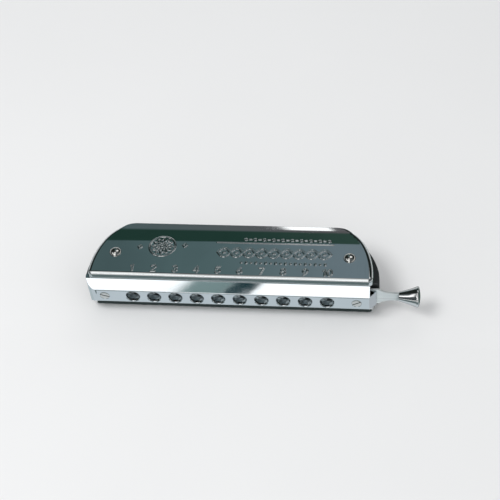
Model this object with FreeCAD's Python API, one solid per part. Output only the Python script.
"""Ten-hole slide chromatic harmonica, modelled as its separate pieces.

Frame: X runs along the row of holes with the slide button at +X, the player's side
(mouthpiece) faces -Y, +Z is up through the upper cover.  The origin is the middle of
the lower cover's flat face, the face the instrument rests on.  Millimetres.

All sizes and helpers give y from the slide plane and z from the mid plane.
"""
import FreeCAD, Part
import math
import os

Vector = FreeCAD.Vector
os.makedirs("parts", exist_ok=True)

# ---------------------------------------------------------------- shared dimensions
HOLES = 10                 # blow holes in the mouthpiece
PITCH = 9.5                # hole to hole
HEIGHT = 22.0              # over both cover plates
MID_Z = HEIGHT / 2         # mid plane, through the hole centres
SLIDE_Y = -14.75           # slide plane (centre of the slide's thickness)
THROUGH = 20.0             # reach of a tool that cuts right through a piece
PAST = 1.0                 # how far other tools run past the face they cut
SIDES = (-1, 1)

# covers (stamped sheet)
SHEET = 0.4
COVER_X = 62.7             # half length
COVER_FRONT = -1.1
COVER_REAR = 30.6
CORNER_RX = 17.8           # quarter-ellipse rear corners
CORNER_RY = 29.9
CORNER_X = COVER_X - CORNER_RX     # centres of the rear corners
CORNER_Y = COVER_REAR - CORNER_RY
COVER_SEAT = 7.0           # bottom of the end skirts
BOLT_X, BOLT_Y = 51.8, 11.5
DIMPLE_DEPTH = 1.1         # pressed seats in the lower cover
DIMPLE_FLOOR = MID_Z - DIMPLE_DEPTH

# slide and its guides
SLIDE_T = 0.8
SLIDE_HALF = 4.6
SLIDE_GAP = 0.05
TRAVEL = PITCH / 2
WINDOW_W = 4.4
WINDOW_Z0, WINDOW_Z1 = 0.8, 3.6
GUIDE_HALF = 5.0
GUIDE_FLOOR = -1.05
GUIDE_X0, GUIDE_X1 = -62.75, 61.0
BACK_T = 0.8
BACK_FRONT = SLIDE_T / 2 + SLIDE_GAP
MOUTH_REAR = BACK_FRONT + BACK_T
MOUTH_FRONT = -4.7
MSCREW_X = 55.5            # mouthpiece screws
PIN_X = 75.3               # pin through button and slide
PIN_BORE_R = 0.5

# return spring
SPRING_Z = -2.95           # working arm
SPRING_TIP_X = 58.0
COIL_X, COIL_Y = 60.3, 8.6

# comb and reed plates
COMB_HALF = 6.0
COMB_FRONT = MOUTH_REAR
PLATE_T = 1.0
PLATE_OUT = COMB_HALF + PLATE_T
SLOT_Y = 5.2               # front end of every reed slot
REED_LONG, REED_SHORT = 16.5, 8.5
RIVET_R = 0.5
RIVET_BORE_R = 0.51
DRAW_RIVET_BACK = 1.55     # rivet centre from the root end of the slot
BLOW_RIVET_BACK = 1.5
PLATE_SCREWS = [(-50.0, 4.2), (50.0, 4.2), (-50.0, 20.5), (50.0, 20.5), (0.0, 25.4)]

HOLE_XS = [(i - (HOLES - 1) / 2) * PITCH for i in range(HOLES)]
REEDS = 2 * HOLES
REED_XS = [HOLE_XS[0] - PITCH / 4 + k * PITCH / 2 for k in range(REEDS)]
REED_L = [REED_LONG - (REED_LONG - REED_SHORT) * k / (REEDS - 1) for k in range(REEDS)]


# ---------------------------------------------------------------- helpers
def point(x, y, z):
    return Vector(x, y + SLIDE_Y, z + MID_Z)


def box(x0, x1, y0, y1, z0, z1):
    """Box between the bounds; each y or z pair may come in either order."""
    y0, y1 = sorted((y0, y1))
    z0, z1 = sorted((z0, z1))
    return Part.makeBox(x1 - x0, y1 - y0, z1 - z0, point(x0, y0, z0))


def cyl_z(x, y, z0, z1, radius):
    z0, z1 = sorted((z0, z1))
    return Part.makeCylinder(radius, z1 - z0, point(x, y, z0), Vector(0, 0, 1))


def cyl_y(x, z, y0, y1, radius):
    return Part.makeCylinder(radius, y1 - y0, point(x, y0, z), Vector(0, 1, 0))


def bore_z(x, y, radius):
    return cyl_z(x, y, -THROUGH, THROUGH, radius)


def bore_y(x, z, radius):
    return cyl_y(x, z, -THROUGH, THROUGH, radius)


def window(x, z0, z1):
    """Through cut along Y, one window wide."""
    return box(x - WINDOW_W / 2, x + WINDOW_W / 2, -THROUGH, THROUGH, z0, z1)


def round_slot(x0, x1, z, radius):
    """Tools for a round-ended slot along Y."""
    return [box(x0, x1, -THROUGH, THROUGH, z - radius, z + radius),
            bore_y(x0, z, radius), bore_y(x1, z, radius)]


def prism_z(outline, z0, z1):
    corners = [point(x, y, z0) for x, y in outline]
    return Part.Face(Part.makePolygon(corners + corners[:1])).extrude(Vector(0, 0, z1 - z0))


def prism_x(outline, x0, x1):
    corners = [point(x0, y, z) for y, z in outline]
    return Part.Face(Part.makePolygon(corners + corners[:1])).extrude(Vector(x1 - x0, 0, 0))


def lines(*places):
    """Straight edges through the places in turn."""
    corners = [point(*place) for place in places]
    return [Part.makeLine(a, b) for a, b in zip(corners, corners[1:])]


def arc(start, middle, end):
    return Part.Arc(point(*start), point(*middle), point(*end)).toShape()


def spline(places):
    curve = Part.BSplineCurve()
    curve.interpolate([point(*place) for place in places])
    return curve.toShape()


def face_of(edges):
    return Part.Face(Part.Wire(Part.__sortEdges__(edges)))


def both_ends(half):
    """Close a +X half outline with its mirror image at -X."""
    return half + [(-x, y) for x, y in reversed(half)]


def fuse(shapes):
    return shapes[0].fuse(shapes[1:]).removeSplitter()


def flip(shape):
    """The same piece mirrored below the mid plane."""
    return shape.mirror(Vector(0, 0, MID_Z), Vector(0, 0, 1))


def dome(x, y, z, radius, height, edge):
    """A screw head: a short cylinder with a domed top, standing on z."""
    ball_r = (radius ** 2 + (height - edge) ** 2) / (2 * (height - edge))
    ball = Part.makeSphere(ball_r, point(x, y, z + height - ball_r))
    blank = cyl_z(x, y, z, z + height, radius)
    return blank.common(ball.fuse(cyl_z(x, y, z, z + edge, radius)))


def save(name, shapes):
    if not isinstance(shapes, list):
        shapes = [shapes]
    solids = [solid for shape in shapes for solid in shape.Solids]
    for solid in solids:
        if not solid.isValid() or solid.Volume <= 0:
            raise ValueError("bad solid in " + name)
    out = solids[0] if len(solids) == 1 else Part.makeCompound(solids)
    out.exportStep(os.path.join("parts", name + ".step"))


# ---------------------------------------------------------------- cover plates
FRONT_BEND = 1.0           # outer radius of the long front bend
END_BEND = 0.5
FRONT_CORNER = 1.3         # plan radius of the two front corners
MIN_RADIUS = 0.2           # smallest inside radius
COVER_FLOOR = 7.5          # bottom of the front wall
REAR_DROP_START = 25.8     # the top turns down behind this line
REAR_DROP = 1.15
SECTION_OVER = 2.0         # the side section runs this far past each end
REAR_OPEN_DEPTH = 3.0      # the rear opening, from the rear edge
REAR_OPEN_EXTRA = 1.5      # and past each corner centre
DIMPLE_R, DIMPLE_FLOOR_R = 2.75, 2.3
COVER_BORE_R = 1.15


def cover_plan(inset):
    """Plan outline: straight front, rounded front corners, quarter-ellipse rear corners."""
    half, front, rear = COVER_X - inset, COVER_FRONT + inset, COVER_REAR - inset
    radius = max(FRONT_CORNER - inset, MIN_RADIUS)
    bulge = radius * math.sin(math.pi / 4)

    def end_edges(side):
        corner = arc((side * (half - radius), front, 0),
                     (side * (half - radius + bulge), front + radius - bulge, 0),
                     (side * half, front + radius, 0))
        ellipse = Part.Ellipse(point(side * CORNER_X, rear, 0), point(side * half, CORNER_Y, 0),
                               point(side * CORNER_X, CORNER_Y, 0))
        straight = lines((side * half, front + radius, 0), (side * half, CORNER_Y, 0))
        return [corner] + straight + [ellipse.toShape(0, math.pi / 2)]

    return face_of(lines((-half + radius, front, 0), (half - radius, front, 0))
                   + end_edges(1)
                   + lines((CORNER_X, rear, 0), (-CORNER_X, rear, 0))
                   + end_edges(-1)[::-1])


def cover_section(inset, z_low):
    """Side section: front wall, long front bend, flat top, top turned down at the rear."""
    top, front = MID_Z - inset, COVER_FRONT + inset
    radius = max(FRONT_BEND - inset, MIN_RADIUS)
    bulge = radius * math.sqrt(0.5)
    x = -COVER_X - SECTION_OVER
    end = COVER_REAR + PAST
    middle = (end + REAR_DROP_START) / 2

    def rear_top(y):
        share = (y - REAR_DROP_START) / (COVER_REAR - REAR_DROP_START)
        return top - REAR_DROP * share ** 2

    edges = lines((x, front, z_low), (x, front, top - radius))
    edges.append(arc((x, front, top - radius), (x, front + radius - bulge, top - radius + bulge),
                     (x, front + radius, top)))
    edges += lines((x, front + radius, top), (x, REAR_DROP_START, top))
    edges.append(arc((x, REAR_DROP_START, top), (x, middle, rear_top(middle)),
                     (x, end, rear_top(end))))
    edges += lines((x, end, rear_top(end)), (x, end, z_low), (x, front, z_low))
    return face_of(edges).extrude(Vector(2 * (COVER_X + SECTION_OVER), 0, 0))


def cover_block(inset, z_low):
    plan = cover_plan(inset).extrude(Vector(0, 0, HEIGHT))
    plan.translate(Vector(0, 0, z_low))
    return plan.common(cover_section(inset, z_low))


def round_cover_ends(block):
    """Round the top edge along both curved ends."""
    edges = []
    for edge in block.Edges:
        halfway = (edge.FirstParameter + edge.LastParameter) / 2
        middle = edge.valueAt(halfway)
        y = middle.y - SLIDE_Y
        at_end = abs(middle.x) > CORNER_X - 0.5 and y > COVER_FRONT + 1.6
        high = middle.z > MID_Z + COVER_SEAT + 1.5
        along_top = abs(middle.z - HEIGHT) < 1e-3 or y > REAR_DROP_START
        steep = abs(edge.tangentAt(halfway).z) > 0.9
        if at_end and high and along_top and not steep:
            edges.append(edge)
    # guards a fillet that may fail or spoil the block: the edges then stay square
    try:
        rounded = block.makeFillet(END_BEND, edges)
        if rounded.isValid() and rounded.Volume > 0.9 * block.Volume:
            return rounded
    except Exception:
        FreeCAD.Console.PrintWarning("cover end edges left square\n")
    return block


def make_cover(with_seats):
    outer = round_cover_ends(cover_block(0.0, COVER_SEAT))
    low = COVER_SEAT - PAST
    shell = outer.cut(cover_block(SHEET, low))
    # the front wall stops above the mouthpiece ledge; the rear is open to let the sound out
    shell = shell.cut(box(-COVER_X - PAST, COVER_X + PAST,
                          COVER_FRONT - PAST, MOUTH_REAR + 0.05, low, COVER_FLOOR))
    open_x = CORNER_X + REAR_OPEN_EXTRA
    shell = shell.cut(box(-open_x, open_x, COVER_REAR - REAR_OPEN_DEPTH, COVER_REAR + PAST,
                          low, MID_Z - REAR_DROP - SHEET - 0.15))
    for side in SIDES:
        x = side * BOLT_X
        if with_seats:
            # nut seats pressed into the sheet, so that the flat stays clear
            shell = shell.fuse(Part.makeCone(
                DIMPLE_FLOOR_R + SHEET, DIMPLE_R + SHEET * 1.1, DIMPLE_DEPTH + 0.1,
                point(x, BOLT_Y, DIMPLE_FLOOR - SHEET)))
            shell = shell.cut(Part.makeCone(
                DIMPLE_FLOOR_R, DIMPLE_R, DIMPLE_DEPTH, point(x, BOLT_Y, DIMPLE_FLOOR)))
        shell = shell.cut(bore_z(x, BOLT_Y, COVER_BORE_R))
    return shell.removeSplitter()


save("upper_cover", make_cover(False))
save("lower_cover", flip(make_cover(True)))


# ---------------------------------------------------------------- cover bolts and nuts
HEAD_R, HEAD_H, HEAD_EDGE = 2.6, 1.5, 0.3      # round heads standing on the upper cover
BOLT_R = 1.0
BOLT_END = 0.25            # shank end above the lower cover's flat face
NUT_R, NUT_EDGE, NUT_BORE_R = 2.05, 0.45, 1.02
NUT_SUNK = 0.06            # nut face inside the flat face
NUT_SLOT_HALF, NUT_SLOT_DEPTH = 0.27, 0.5


def make_bolt(x):
    head = dome(x, BOLT_Y, MID_Z, HEAD_R, HEAD_H, HEAD_EDGE)
    shank = cyl_z(x, BOLT_Y, -MID_Z + BOLT_END, MID_Z + 0.1, BOLT_R)
    return head.fuse(shank).removeSplitter()


def make_nut(x):
    nut = flip(dome(x, BOLT_Y, DIMPLE_FLOOR, NUT_R, DIMPLE_DEPTH - NUT_SUNK, NUT_EDGE))
    slot = box(x - 2.5, x + 2.5, BOLT_Y - NUT_SLOT_HALF, BOLT_Y + NUT_SLOT_HALF,
               -MID_Z - PAST, -MID_Z + NUT_SLOT_DEPTH)
    return nut.cut(slot).cut(bore_z(x, BOLT_Y, NUT_BORE_R))


save("cover_bolts", [make_bolt(side * BOLT_X) for side in SIDES])
save("cover_nuts", [make_nut(side * BOLT_X) for side in SIDES])


# ---------------------------------------------------------------- mouthpiece
MOUTH_X = 63.7
MOUTH_TOP = 7.45
LEDGE_FRONT = COVER_FRONT - 0.06   # the ledge under the cover's front wall
FACE_HALF = 3.65
FACE_EDGE_R = 0.7
NOSE_X = 61.2              # behind the nose the flanges stop here on the button side
NOSE_HALF = 4.1
NOSE_REAR = -0.5
END_RX = 5.0               # quarter ellipse of the -X end, in plan
END_RY = MOUTH_REAR - MOUTH_FRONT - 0.9
END_OVER = 0.03            # its cut runs this far outside the ellipse
END_STEPS = 14
END_BEVEL_X, END_BEVEL_Y = 2.8, 3.4        # bevel of the button end
CHANNEL_X0 = -62.8
HOLE_R = 3.0
HOLE_LIP = 0.5
MSCREW_BORE_R = 1.15


def on_mouth_face(place):
    return abs(place.y - (MOUTH_FRONT + SLIDE_Y)) < 1e-6


def mouth_end_tool():
    """Everything outside the quarter ellipse of the -X front corner."""
    rx, ry = END_RX + END_OVER, END_RY + END_OVER
    x, y = -MOUTH_X + END_RX, MOUTH_FRONT + END_RY
    angles = [math.pi / 2 * i / END_STEPS for i in range(END_STEPS + 1)]
    curve = spline([(x - rx * math.cos(a), y - ry * math.sin(a), -THROUGH) for a in angles])
    x_out, y_out = x - rx - 3, y - ry - 3
    rest = [(x, y - ry), (x, y_out), (x_out, y_out), (x_out, y), (x - rx, y)]
    edges = [curve] + lines(*[(px, py, -THROUGH) for px, py in rest])
    return face_of(edges).extrude(Vector(0, 0, 2 * THROUGH))


def make_mouthpiece():
    body = prism_x([(MOUTH_REAR, -MOUTH_TOP), (LEDGE_FRONT, -MOUTH_TOP),
                    (MOUTH_FRONT, -FACE_HALF), (MOUTH_FRONT, FACE_HALF),
                    (LEDGE_FRONT, MOUTH_TOP), (MOUTH_REAR, MOUTH_TOP)], -MOUTH_X, MOUTH_X)
    # soft edge along both long sides of the front face
    body = body.makeFillet(FACE_EDGE_R, [
        edge for edge in body.Edges
        if abs(edge.Length - 2 * MOUTH_X) < 1e-6 and on_mouth_face(edge.Vertexes[0].Point)])
    # -X end rounded in plan, button end bevelled
    body = body.cut(mouth_end_tool())
    bevel_x, bevel_y = MOUTH_X - END_BEVEL_X, MOUTH_FRONT + END_BEVEL_Y
    body = body.cut(prism_z([(bevel_x, MOUTH_FRONT), (bevel_x, MOUTH_FRONT - 4),
                             (MOUTH_X + 4, MOUTH_FRONT - 4), (MOUTH_X + 4, bevel_y),
                             (MOUTH_X, bevel_y)], -THROUGH, THROUGH))
    # beyond the covers on the button side only a low nose is left in front of the slide
    for side in SIDES:
        body = body.cut(box(NOSE_X, MOUTH_X + PAST, MOUTH_FRONT - PAST, MOUTH_REAR + PAST,
                            side * NOSE_HALF, side * 9.0))
    body = body.cut(box(NOSE_X, MOUTH_X + PAST, NOSE_REAR, MOUTH_REAR + PAST, -9, 9))
    # channel for the slide and its guides, open at the back and on the button side
    channel_half = GUIDE_HALF + 0.05
    body = body.cut(box(CHANNEL_X0, NOSE_X + 0.01, GUIDE_FLOOR, MOUTH_REAR + PAST,
                        -channel_half, channel_half))
    tools = [bore_y(x, 0, HOLE_R) for x in HOLE_XS]
    for side in SIDES:
        x = side * MSCREW_X
        tools.append(bore_y(x, 0, MSCREW_BORE_R))
        tools.append(Part.makeCone(2.2, 1.1, 1.1, point(x, MOUTH_FRONT, 0), Vector(0, 1, 0)))
    body = body.cut(tools)
    rims = []
    for edge in body.Edges:
        curve = getattr(edge, "Curve", None)
        if (isinstance(curve, Part.Circle) and abs(curve.Radius - HOLE_R) < 1e-6
                and on_mouth_face(curve.Center)):
            rims.append(edge)
    return body.makeFillet(HOLE_LIP, rims)


save("mouthpiece", make_mouthpiece())

MSCREW_R = 1.05
MSCREW_END = 11.5
MSCREW_HEAD_R, MSCREW_HEAD_H = 2.14, 1.09
MSCREW_SUNK = 0.03
MSCREW_SLOT_HALF, MSCREW_SLOT_DEPTH = 0.25, 0.55
MSCREW_SLOT_TURN = {-1: 20, 1: -30}    # degrees about the screw's axis


def make_mouth_screw(side):
    x = side * MSCREW_X
    head = Part.makeCone(MSCREW_HEAD_R, MSCREW_R, MSCREW_HEAD_H,
                         point(x, MOUTH_FRONT + MSCREW_SUNK, 0), Vector(0, 1, 0))
    shaft = cyl_y(x, 0, MOUTH_FRONT + 1.0, MSCREW_END, MSCREW_R)
    slot = box(x - 2.5, x + 2.5, MOUTH_FRONT - PAST, MOUTH_FRONT + MSCREW_SLOT_DEPTH,
               -MSCREW_SLOT_HALF, MSCREW_SLOT_HALF)
    slot.rotate(point(x, 0, 0), Vector(0, 1, 0), MSCREW_SLOT_TURN[side])
    return head.fuse(shaft).removeSplitter().cut(slot)


save("mouthpiece_screws", [make_mouth_screw(side) for side in SIDES])


# ---------------------------------------------------------------- slide and its guides
GUIDE_BORE_R = 1.2
SPRING_SLOT_R = 0.65
SPRING_SLOT_OVER = 0.15
SLIDE_LEFT = -57.9
SLIDE_BEVEL = 0.8          # corners of the -X end
SCREW_SLOT_R = 1.6
SPRING_BORE_R = 0.6
NECK_HALF = 2.3
NECK_END = 73.3            # the button starts here
TAB_END, TAB_HALF = 76.95, 1.6     # tab inside the button
BUMPER_R, BUMPER_BORE_R = 1.5, 1.06
BUMPER_OVER = 0.03         # beyond each face of the slide
# x, z: upper edge from full width down to the neck
SHOULDER = [(64.3, SLIDE_HALF), (65.0, 4.28), (65.7, 3.78), (66.5, 3.3),
            (67.4, 2.9), (68.5, 2.58), (69.8, 2.38), (71.2, NECK_HALF)]


def make_housing():
    edge = SLIDE_HALF + SLIDE_GAP
    floor = box(GUIDE_X0, GUIDE_X1, GUIDE_FLOOR, -BACK_FRONT, -GUIDE_HALF, GUIDE_HALF)
    rails = [box(GUIDE_X0, GUIDE_X1, GUIDE_FLOOR, BACK_FRONT, side * edge, side * GUIDE_HALF)
             for side in (1, -1)]
    tools = [window(x, -WINDOW_Z1, WINDOW_Z1) for x in HOLE_XS]
    tools += [bore_y(side * MSCREW_X, 0, GUIDE_BORE_R) for side in SIDES]
    return fuse([floor] + rails).cut(tools)


def make_back_plate():
    plate = box(GUIDE_X0, GUIDE_X1, BACK_FRONT, BACK_FRONT + BACK_T, -GUIDE_HALF, GUIDE_HALF)
    tools = []
    for x in HOLE_XS:
        tools += [window(x, side * WINDOW_Z0, side * WINDOW_Z1) for side in (1, -1)]
    tools += [bore_y(side * MSCREW_X, 0, GUIDE_BORE_R) for side in SIDES]
    # sweep slot for the spring's working arm
    tools += round_slot(SPRING_TIP_X - TRAVEL, SPRING_TIP_X + SPRING_SLOT_OVER,
                        SPRING_Z, SPRING_SLOT_R)
    return plate.cut(tools)


def make_slide():
    y = -SLIDE_T / 2
    left, half, bevel = SLIDE_LEFT, SLIDE_HALF, SLIDE_BEVEL
    shoulder_x, neck_x = SHOULDER[0][0], SHOULDER[-1][0]
    tab = [(neck_x, NECK_HALF), (NECK_END, NECK_HALF), (NECK_END, TAB_HALF),
           (TAB_END, TAB_HALF), (TAB_END, -TAB_HALF), (NECK_END, -TAB_HALF),
           (NECK_END, -NECK_HALF), (neck_x, -NECK_HALF)]
    body = [(shoulder_x, -half), (left + bevel, -half), (left, -half + bevel),
            (left, half - bevel), (left + bevel, half), (shoulder_x, half)]
    edges = [spline([(x, y, z) for x, z in SHOULDER])]
    edges += lines(*[(x, y, z) for x, z in tab])
    edges.append(spline([(x, y, -z) for x, z in SHOULDER]))
    edges += lines(*[(x, y, z) for x, z in body])
    tools = []
    for x in HOLE_XS:
        # out: the upper row is open.  in: the lower row has moved over the holes.
        tools.append(window(x, WINDOW_Z0 - 0.05, WINDOW_Z1))
        tools.append(window(x + TRAVEL, -WINDOW_Z1, -WINDOW_Z0 + 0.05))
    for side in SIDES:
        tools += round_slot(side * MSCREW_X, side * MSCREW_X + TRAVEL, 0, SCREW_SLOT_R)
    tools.append(bore_y(SPRING_TIP_X, SPRING_Z, SPRING_BORE_R))
    tools.append(bore_y(PIN_X, 0, PIN_BORE_R))
    return face_of(edges).extrude(Vector(0, SLIDE_T, 0)).cut(tools)


def make_bumper(x):
    reach = SLIDE_T / 2 + BUMPER_OVER
    return cyl_y(x, 0, -reach, reach, BUMPER_R).cut(bore_y(x, 0, BUMPER_BORE_R))


save("slide_housing", make_housing())
save("slide_back_plate", make_back_plate())
save("slide", make_slide())
save("slide_bumpers", [make_bumper(side * MSCREW_X) for side in SIDES])


# ---------------------------------------------------------------- button
# x, radius: flare from the neck out to the rim
BUTTON_FLARE = [(NECK_END, 2.05), (74.6, 2.42), (76.2, 2.88),
                (78.0, 3.42), (79.6, 3.98), (80.7, 4.42)]
BUTTON_END = 82.5


def make_button():
    """Turned about the slide's long axis, slotted for the slide's tab."""
    edges = lines((NECK_END, 0, 0), (NECK_END, 0, BUTTON_FLARE[0][1]))
    edges.append(spline([(x, 0, radius) for x, radius in BUTTON_FLARE]))
    edges += lines((80.7, 0, 4.42), (80.95, 0, 4.55), (81.55, 0, 4.55))
    edges.append(arc((81.55, 0, 4.55), (81.82, 0, 4.42), (81.95, 0, 4.15)))
    edges.append(arc((81.95, 0, 4.15), (82.34, 0, 2.3), (BUTTON_END, 0, 0.4)))
    edges += lines((BUTTON_END, 0, 0.4), (BUTTON_END, 0, 0), (NECK_END, 0, 0))
    button = face_of(edges).revolve(point(0, 0, 0), Vector(1, 0, 0), 360)
    slot_y, slot_z = SLIDE_T / 2 + 0.02, TAB_HALF + 0.02
    button = button.cut(box(73.0, 77.0, -slot_y, slot_y, -slot_z, slot_z))
    return button.cut(cyl_y(PIN_X, 0, -1.2, 5, PIN_BORE_R))


save("slide_button", make_button())
save("button_pin", cyl_y(PIN_X, 0, -1.15, 2.5, PIN_BORE_R - 0.01))


# ---------------------------------------------------------------- return spring and its post
WIRE_R = 0.35
COIL_R = 2.0
COIL_TURNS = 2.5
COIL_RISE = 1.9
COIL_STEPS = 40
COIL_STEPS_LEFT_OUT = 3    # the working arm leaves the coil before its last steps
POST_R = 1.2
# x, y: working arm from the coil's front to the slide
SPRING_ARM = [(59.25, 6.35), (58.7, 5.0), (58.2, 3.4), (58.05, 2.1),
              (SPRING_TIP_X, 1.3), (SPRING_TIP_X, 0.5), (SPRING_TIP_X, -0.25)]


def make_spring():
    """Wire torsion spring: anchored leg, coil round the post, working arm into the slide."""
    z_leg = SPRING_Z - COIL_RISE
    places = [(x, COIL_Y + COIL_R, z_leg) for x in (56.7, 58.4)]
    for i in range(COIL_STEPS + 1 - COIL_STEPS_LEFT_OUT):
        share = i / COIL_STEPS
        angle = math.pi / 2 - 2 * math.pi * COIL_TURNS * share
        places.append((COIL_X + COIL_R * math.cos(angle), COIL_Y + COIL_R * math.sin(angle),
                       z_leg + COIL_RISE * max(0.0, (share - 0.03) / 0.94)))
    places += [(x, y, SPRING_Z) for x, y in SPRING_ARM]
    path = spline(places)
    start = path.FirstParameter
    profile = Part.Wire(Part.makeCircle(WIRE_R, path.valueAt(start), path.tangentAt(start)))
    return Part.Wire(path).makePipeShell([profile], True, False)


save("slide_spring", make_spring())
save("spring_post", cyl_z(COIL_X, COIL_Y, -6.8, -1.25, POST_R))


# ---------------------------------------------------------------- comb
COMB_REAR = 28.6
COMB_LEFT, COMB_RIGHT = 63.9, 65.0     # reach towards -X and +X
COMB_BEVEL = 0.4           # front corners in plan
COMB_EDGE = 0.35           # chamfer round the ends
FLANK_Y = 3.0              # the curved flanks start here
FLANK_REAR_X = 41.5        # and end here on the rear face
WEB_HALF = 0.8
CHAMBER_W = 3.75
CHAMBER_EXTRA = 3.6        # chamber length behind the reed slot
WALL_HALF = 0.6            # wall between the two chambers of a hole
WALL_SETBACK = 2.4
BOSS_R = 3.3
# x, y: the flanks.  The button side reaches further out, over the spring pocket.
FLANK_RIGHT = [(64.75, 6.0), (64.05, 9.4), (62.85, 13.0), (61.2, 16.6),
               (58.9, 20.2), (56.0, 23.4), (52.4, 26.0), (47.8, 27.9)]
FLANK_LEFT = [(-63.65, 6.0), (-62.95, 9.4), (-61.9, 13.0), (-60.5, 16.6),
              (-58.5, 20.2), (-55.9, 23.4), (-52.4, 26.0), (-47.8, 27.9)]
# x, y: +X half of the reed plates' seat; beyond it the comb rises to the covers
SEAT_HALF = [(59.0, 0.0), (59.0, 13.1), (56.85, 17.35), (53.85, 20.75),
             (50.65, 23.95), (46.2, 27.1), (43.7, 27.8), (43.7, 40.0)]


def comb_outline():
    left, right, front = -COMB_LEFT, COMB_RIGHT, COMB_FRONT

    def flank(side, x, stations):
        plan = [(x, FLANK_Y)] + stations + [(side * FLANK_REAR_X, COMB_REAR)]
        return spline([(px, py, 0) for px, py in plan])

    edges = lines((left + COMB_BEVEL, front, 0), (right - COMB_BEVEL, front, 0),
                  (right, front + COMB_BEVEL, 0), (right, FLANK_Y, 0))
    edges.append(flank(1, right, FLANK_RIGHT))
    edges += lines((FLANK_REAR_X, COMB_REAR, 0), (-FLANK_REAR_X, COMB_REAR, 0))
    edges.append(flank(-1, left, FLANK_LEFT))
    edges += lines((left, FLANK_Y, 0), (left, front + COMB_BEVEL, 0),
                   (left + COMB_BEVEL, front, 0))
    return face_of(edges)


def soften_comb_ends(comb):
    edges = []
    for edge in comb.Edges:
        middle = edge.valueAt((edge.FirstParameter + edge.LastParameter) / 2)
        if abs(middle.x) > 54 and abs(abs(middle.z - MID_Z) - COVER_SEAT) < 1e-3:
            edges.append(edge)
    # guards a chamfer that may fail: the edges then stay square
    try:
        soft = comb.makeChamfer(COMB_EDGE, edges)
        if soft.isValid():
            return soft
    except Exception:
        FreeCAD.Console.PrintWarning("comb edges left square\n")
    return comb


def spring_pocket():
    """Pocket for the return spring, open towards the slide."""
    z0, z1 = SPRING_Z - 2.35, SPRING_Z + 0.75
    return fuse([
        prism_z([(52.4, 0.5), (63.2, 0.5), (63.2, COIL_Y), (57.3, COIL_Y),
                 (56.6, 6.2), (52.4, 2.6)], z0, z1),
        cyl_z(COIL_X, COIL_Y, z0, z1, 2.95),
        box(56.3, COIL_X, COIL_Y + 1.4, COIL_Y + 2.6, z0, z1)])


def make_comb():
    comb = comb_outline().extrude(Vector(0, 0, 2 * COVER_SEAT))
    comb.translate(Vector(0, 0, -COVER_SEAT))
    comb = soften_comb_ends(comb)
    for z0, z1 in ((COMB_HALF, 9.0), (-9.0, -COMB_HALF)):
        comb = comb.cut(prism_z(both_ends(SEAT_HALF), z0, z1))
    # bosses that carry the covers
    bosses = []
    for side in SIDES:
        x = side * BOLT_X
        bosses.append(cyl_z(x, BOLT_Y, COMB_HALF - 0.5, MID_Z - SHEET, BOSS_R))
        bosses.append(cyl_z(x, BOLT_Y, -DIMPLE_FLOOR + SHEET, -COMB_HALF + 0.5, BOSS_R))
    comb = comb.fuse(bosses).removeSplitter()

    def chamber(x, half, rear):
        return [box(x - half, x + half, COMB_FRONT - PAST, rear,
                    up * WEB_HALF, up * (COMB_HALF + PAST)) for up in (1, -1)]

    tools = []
    for x, length in zip(REED_XS, REED_L):
        tools += chamber(x, CHAMBER_W / 2, SLOT_Y + length + CHAMBER_EXTRA)
    for x in HOLE_XS:
        # the wall inside each pair of chambers starts behind the slide window
        tools += chamber(x, WALL_HALF, COMB_FRONT + WALL_SETBACK)
    for side in SIDES:
        tools.append(bore_z(side * BOLT_X, BOLT_Y, 1.1))
        tools.append(cyl_y(side * MSCREW_X, 0, COMB_FRONT - PAST, 11.8, 1.06))
    for x, y in PLATE_SCREWS:
        tools += [cyl_z(x, y, up * 2.4, up * 9, 0.71) for up in (1, -1)]
    tools.append(spring_pocket())
    tools.append(cyl_z(COIL_X, COIL_Y, -8, -1.2, POST_R + 0.01))
    return comb.cut(tools)


save("comb", make_comb())


# ---------------------------------------------------------------- reed plates
SLOT_W = 2.3
# x, y: +X half of the plate
PLATE_OUTLINE = [(58.8, 1.35), (58.8, 13.0), (56.6, 17.2), (53.6, 20.6),
                 (50.4, 23.8), (46.0, 26.9), (43.5, 27.6)]


def make_plate():
    tools = []
    for k, (x, length) in enumerate(zip(REED_XS, REED_L)):
        rear = SLOT_Y + length
        tools.append(box(x - SLOT_W / 2, x + SLOT_W / 2, SLOT_Y, rear, -THROUGH, THROUGH))
        rivet_y = SLOT_Y - DRAW_RIVET_BACK if k % 2 else rear + BLOW_RIVET_BACK
        tools.append(bore_z(x, rivet_y, RIVET_BORE_R))
    tools += [bore_z(side * BOLT_X, BOLT_Y, 3.4) for side in SIDES]
    tools += [bore_z(x, y, 0.8) for x, y in PLATE_SCREWS]
    return prism_z(both_ends(PLATE_OUTLINE), COMB_HALF, PLATE_OUT).cut(tools)


plate = make_plate()
save("upper_reed_plate", plate)
save("lower_reed_plate", flip(plate))


# ---------------------------------------------------------------- reeds, rivets, windsavers
REED_W = 2.1
PAD_HALF, PAD_T = 1.3, 0.35
SAVER_HALF, SAVER_T = 1.45, 0.12


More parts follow.
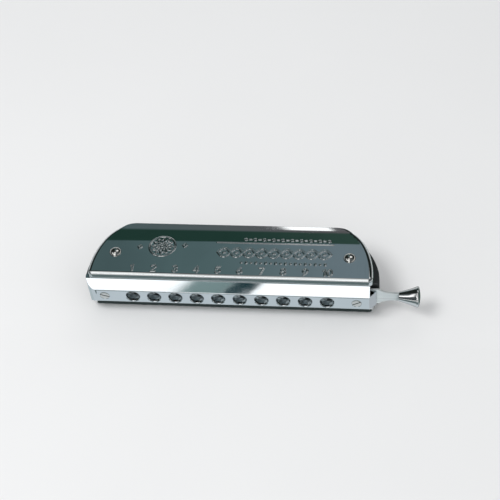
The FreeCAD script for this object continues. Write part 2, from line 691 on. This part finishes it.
def make_reed(x, length, is_draw):
    """Reed, rivet and windsaver of one slot, above the mid plane."""
    # root: end of the slot by the rivet; along: +1 when the reed points to the rear
    # face: plate face that carries the reed; out: direction away from the plate there
    if is_draw:
        # outside the plate, riveted at the mouthpiece end
        root, along, rivet_back, saver_over = SLOT_Y, 1, DRAW_RIVET_BACK, 0.6
        face, back, out = PLATE_OUT, COMB_HALF, 1
    else:
        # inside the chamber, riveted at the rear
        root, along, rivet_back, saver_over = SLOT_Y + length, -1, BLOW_RIVET_BACK, 0.5
        face, back, out = COMB_HALF, PLATE_OUT, -1
    rivet_y = root - along * rivet_back
    pad = box(x - PAD_HALF, x + PAD_HALF, root - along * 2.9, root - along * 0.2,
              face, face + out * PAD_T)
    # distance from the root, height off the plate
    side_view = [(-0.4, 0), (-0.4, 0.28), (length - 0.15, 0.48), (length - 0.15, 0.3), (0.6, 0)]
    tongue = prism_x([(root + along * reach, face + out * lift) for reach, lift in side_view],
                     x - REED_W / 2, x + REED_W / 2)
    reed = fuse([pad, tongue]).cut(bore_z(x, rivet_y, RIVET_BORE_R))
    rivet = fuse([
        cyl_z(x, rivet_y, back - out * 0.2, face + out * 0.36, RIVET_R),
        cyl_z(x, rivet_y, face + out * PAD_T, face + out * 0.62, 0.85),
        cyl_z(x, rivet_y, back - out * 0.22, back, 0.75)])
    saver = box(x - SAVER_HALF, x + SAVER_HALF, root - along * 0.65,
                root + along * (length + saver_over), back, back - out * SAVER_T)
    return reed, rivet, saver


rivets, savers = [], []
for k, (x, length) in enumerate(zip(REED_XS, REED_L)):
    reed, rivet, saver = make_reed(x, length, k % 2 == 1)
    name = "%s_reed_%02d" % ("draw" if k % 2 else "blow", k // 2 + 1)
    save("upper_" + name, reed)
    save("lower_" + name, flip(reed))
    rivets += [rivet, flip(rivet)]
    savers += [saver, flip(saver)]
save("reed_rivets", rivets)
save("windsavers", savers)


# ---------------------------------------------------------------- reed plate screws
def make_plate_screw(x, y):
    head = dome(x, y, PLATE_OUT, 1.45, 0.7, 0.25)
    shank = cyl_z(x, y, PLATE_OUT - 4.3, PLATE_OUT + 0.1, 0.7)
    slot = box(x - 2, x + 2, y - 0.2, y + 0.2, PLATE_OUT + 0.35, PLATE_OUT + 2)
    return head.fuse(shank).removeSplitter().cut(slot)


plate_screws = []
for x, y in PLATE_SCREWS:
    screw = make_plate_screw(x, y)
    plate_screws += [screw, flip(screw)]
save("reed_plate_screws", plate_screws)
